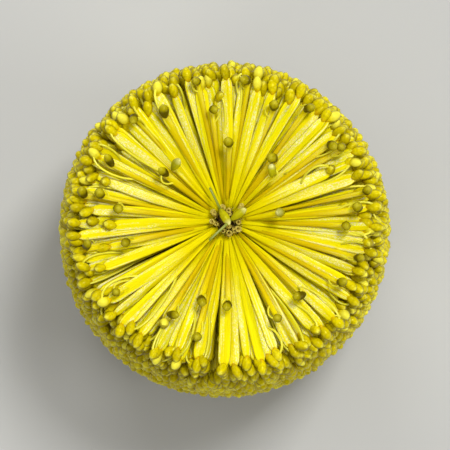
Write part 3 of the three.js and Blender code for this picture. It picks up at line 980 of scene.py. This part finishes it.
def dress_crown_bracts(material):
    """Rings of dry, hollow bract ends round the middle of the crown."""
    feet = []
    tips = []
    for number, ring in enumerate(BRACT_RINGS):
        evenly = math.tau * np.arange(ring["count"]) / ring["count"]
        azimuth = evenly + BRACT_RING_TURN * number + rng.normal(0, BRACT_SWAY, ring["count"])
        heights = ring["height"] * rng.uniform(*BRACT_HEIGHTS, ring["count"])
        feet.append(polar(azimuth, ring["radius"], BRACT_TOP - BRACT_FOOT_DEPTH))
        tips.append(polar(azimuth, ring["radius"] + ring["lean"], BRACT_TOP + heights))
    foot = np.concatenate(feet)
    tip = np.concatenate(tips)
    straight = unit(tip - foot)
    along = unit(straight + rng.normal(0, BRACT_LEAN, straight.shape))
    across = unit(np.cross(along, unit(np.cross(straight, BRACT_FACING))))
    lengths = np.linalg.norm(tip - foot, axis=1)
    widths = rng.uniform(*BRACT_WIDTHS, len(foot))
    master = model_bract()
    shape = shape_of(master)
    places = lay_limbs(shape, foot, along, across, lengths, widths)
    tints = rng.random(len(foot))
    make_piece("crown_bracts_dry", shape, places, tints, material, "crown_bracts")
    discard([master])


def dress_bristles(material):
    """Fine dry bristles that stand up between the bract ends."""
    azimuth = rng.uniform(0, math.tau, BRISTLES)
    radius = rng.uniform(*BRISTLE_RING, BRISTLES)
    foot = polar(azimuth, radius, BRACT_TOP - BRISTLE_FOOT_DEPTH)
    spread = rng.uniform(*BRISTLE_SPREAD, BRISTLES)
    tip = polar(azimuth + rng.normal(0, BRISTLE_TWIST, BRISTLES), radius + spread,
                BRACT_TOP + rng.uniform(*BRISTLE_HEIGHTS, BRISTLES))
    third = (tip - foot) / 3
    controls = [foot, foot + third, tip - third, tip]
    across = polar(azimuth + math.pi / 2, 1.0, 0.0)
    widths = rng.uniform(*BRISTLE_WIDTHS, BRISTLES)
    master = model_tube("bristle", sides=3, steps=BRISTLE_STEPS)
    shape = shape_of(master)
    places = lay_threads(shape, controls, across, widths)
    tints = rng.random(BRISTLES)
    make_piece("crown_bristles", shape, places, tints, material, "crown_bracts")
    discard([master])


# ---------------------------------------------------------------- axis and stub

def finish_turned(piece, material, node):
    clear_selection()
    piece.select_set(True)
    bpy.context.view_layer.objects.active = piece
    bpy.ops.object.shade_smooth_by_angle(angle=SMOOTH_ANGLE)
    piece.data.materials.append(material)
    declare(piece, node)


def core_profile():
    """The axis's (height, width) steps: its side, and its dome, sunk and drawn in a little so
    that the crown's straps stand clear of it."""
    side_height = SHOULDER_HEIGHT - CORE_BOTTOM
    widening = CORE_RADIUS - CORE_FOOT_RADIUS
    side = [(CORE_BOTTOM + side_height * share,
             2 * (CORE_FOOT_RADIUS + widening * min(1, share / CORE_FOOT_SHARE)))
            for share in CORE_RINGS]
    dome = []
    for ring in range(DOME_RINGS + 1):
        share = ring / DOME_RINGS
        z = SHOULDER_HEIGHT + (CORE_TOP - SHOULDER_HEIGHT) * math.sin(share * math.pi / 2)
        dome.append((z - DOME_SINK * share, 2 * (float(core_radius(z)) - DOME_INSET * share)))
    return side + dome


def add_axis(material):
    """The felted axis that all florets grow from, with its rounded top."""
    axis = model_tube("floral_axis", sides=48, steps=core_profile())
    axis.location.z = CORE_BOTTOM
    bpy.ops.object.transform_apply(location=True)
    finish_turned(axis, material, "flower_head")


def add_stub(material):
    """The woody stub: ridged bark, an eased rim, and the cut across it."""
    steps = [(0, 2 * (STUB_RADIUS - STUB_EASE)), (STUB_EASE_HEIGHT, 2 * STUB_RADIUS),
             (STUB_WAIST_HEIGHT, 2 * (STUB_RADIUS - STUB_WAIST)),
             (STUB_HEIGHT, 2 * (STUB_RADIUS + STUB_WAIST))]
    stub = model_tube("woody_stub", sides=40, steps=steps)
    for corner in stub.data.vertices:
        above_cut = corner.co.z > STUB_EASE_HEIGHT / 2
        wave = math.sin(BARK_RIDGES * angle_of(corner) + BARK_TWIST * corner.co.z)
        ridge = 1 - BARK_RELIEF * (1 + wave) * above_cut
        widen(corner, ridge, ridge)
    finish_turned(stub, material, "stem_stub")


# ---------------------------------------------------------------- stage, light and camera

def add_camera():
    towards = Vector((-math.sin(CAMERA_TILT) * math.sin(CAMERA_SIDE),
                      -math.sin(CAMERA_TILT) * math.cos(CAMERA_SIDE),
                      math.cos(CAMERA_TILT)))
    right = Vector((0, 1, 0)).cross(towards).normalized()
    data = bpy.data.cameras.new("camera")
    data.lens = LENS
    camera = bpy.data.objects.new("camera", data)
    bpy.context.scene.collection.objects.link(camera)
    camera.location = AIM + towards * CAMERA_DISTANCE
    camera.rotation_euler = Matrix((right, towards.cross(right), towards)).transposed().to_euler()
    bpy.context.scene.camera = camera


def add_area_light(name, place, size, power):
    data = bpy.data.lights.new(name, "AREA")
    data.size = size
    data.energy = power
    light = bpy.data.objects.new(name, data)
    bpy.context.scene.collection.objects.link(light)
    light.location = place
    light.rotation_euler = (LIT_SPOT - Vector(place)).to_track_quat("-Z", "Y").to_euler()


def add_floor():
    clear_selection()
    bpy.ops.mesh.primitive_plane_add(size=3, location=(0, 0, 0))
    floor = bpy.context.object
    floor.name = "floor"
    material, _, shader = new_material("pale_floor", roughness=0.8)
    shader.inputs["Base Color"].default_value = (0.52, 0.52, 0.50, 1)
    floor.data.materials.append(material)


def add_studio():
    """Soft light all round, the lamps, and the view that keeps the strong yellow as it is."""
    world = bpy.data.worlds.new("studio")
    world.use_nodes = True
    background = world.node_tree.nodes["Background"]
    background.inputs["Color"].default_value = (1.0, 0.97, 0.88, 1)
    background.inputs["Strength"].default_value = 0.095
    bpy.context.scene.world = world
    bpy.context.scene.view_settings.view_transform = "Standard"
    for name, (place, size, power) in LIGHTS.items():
        add_area_light(name, place, size, power)


limb_materials = {name: waxy_limb(name, **look) for name, look in LIMBS.items()}
dress_head(limb_materials)
dress_buds(limb_materials["pale_limb"], pale_thread())
add_axis(felt("brown_felt", (0.030, 0.014, 0.004, 1), (0.16, 0.09, 0.03, 1), 0.6 * MM))
straw = felt("dry_bract", (0.36, 0.24, 0.03, 1), (0.96, 0.84, 0.16, 1), 0.35 * MM)
dress_crown_bracts(straw)
dress_bristles(straw)
add_stub(felt("bark", (0.06, 0.035, 0.02, 1), (0.26, 0.18, 0.11, 1), 0.9 * MM))
add_camera()
add_floor()
add_studio()
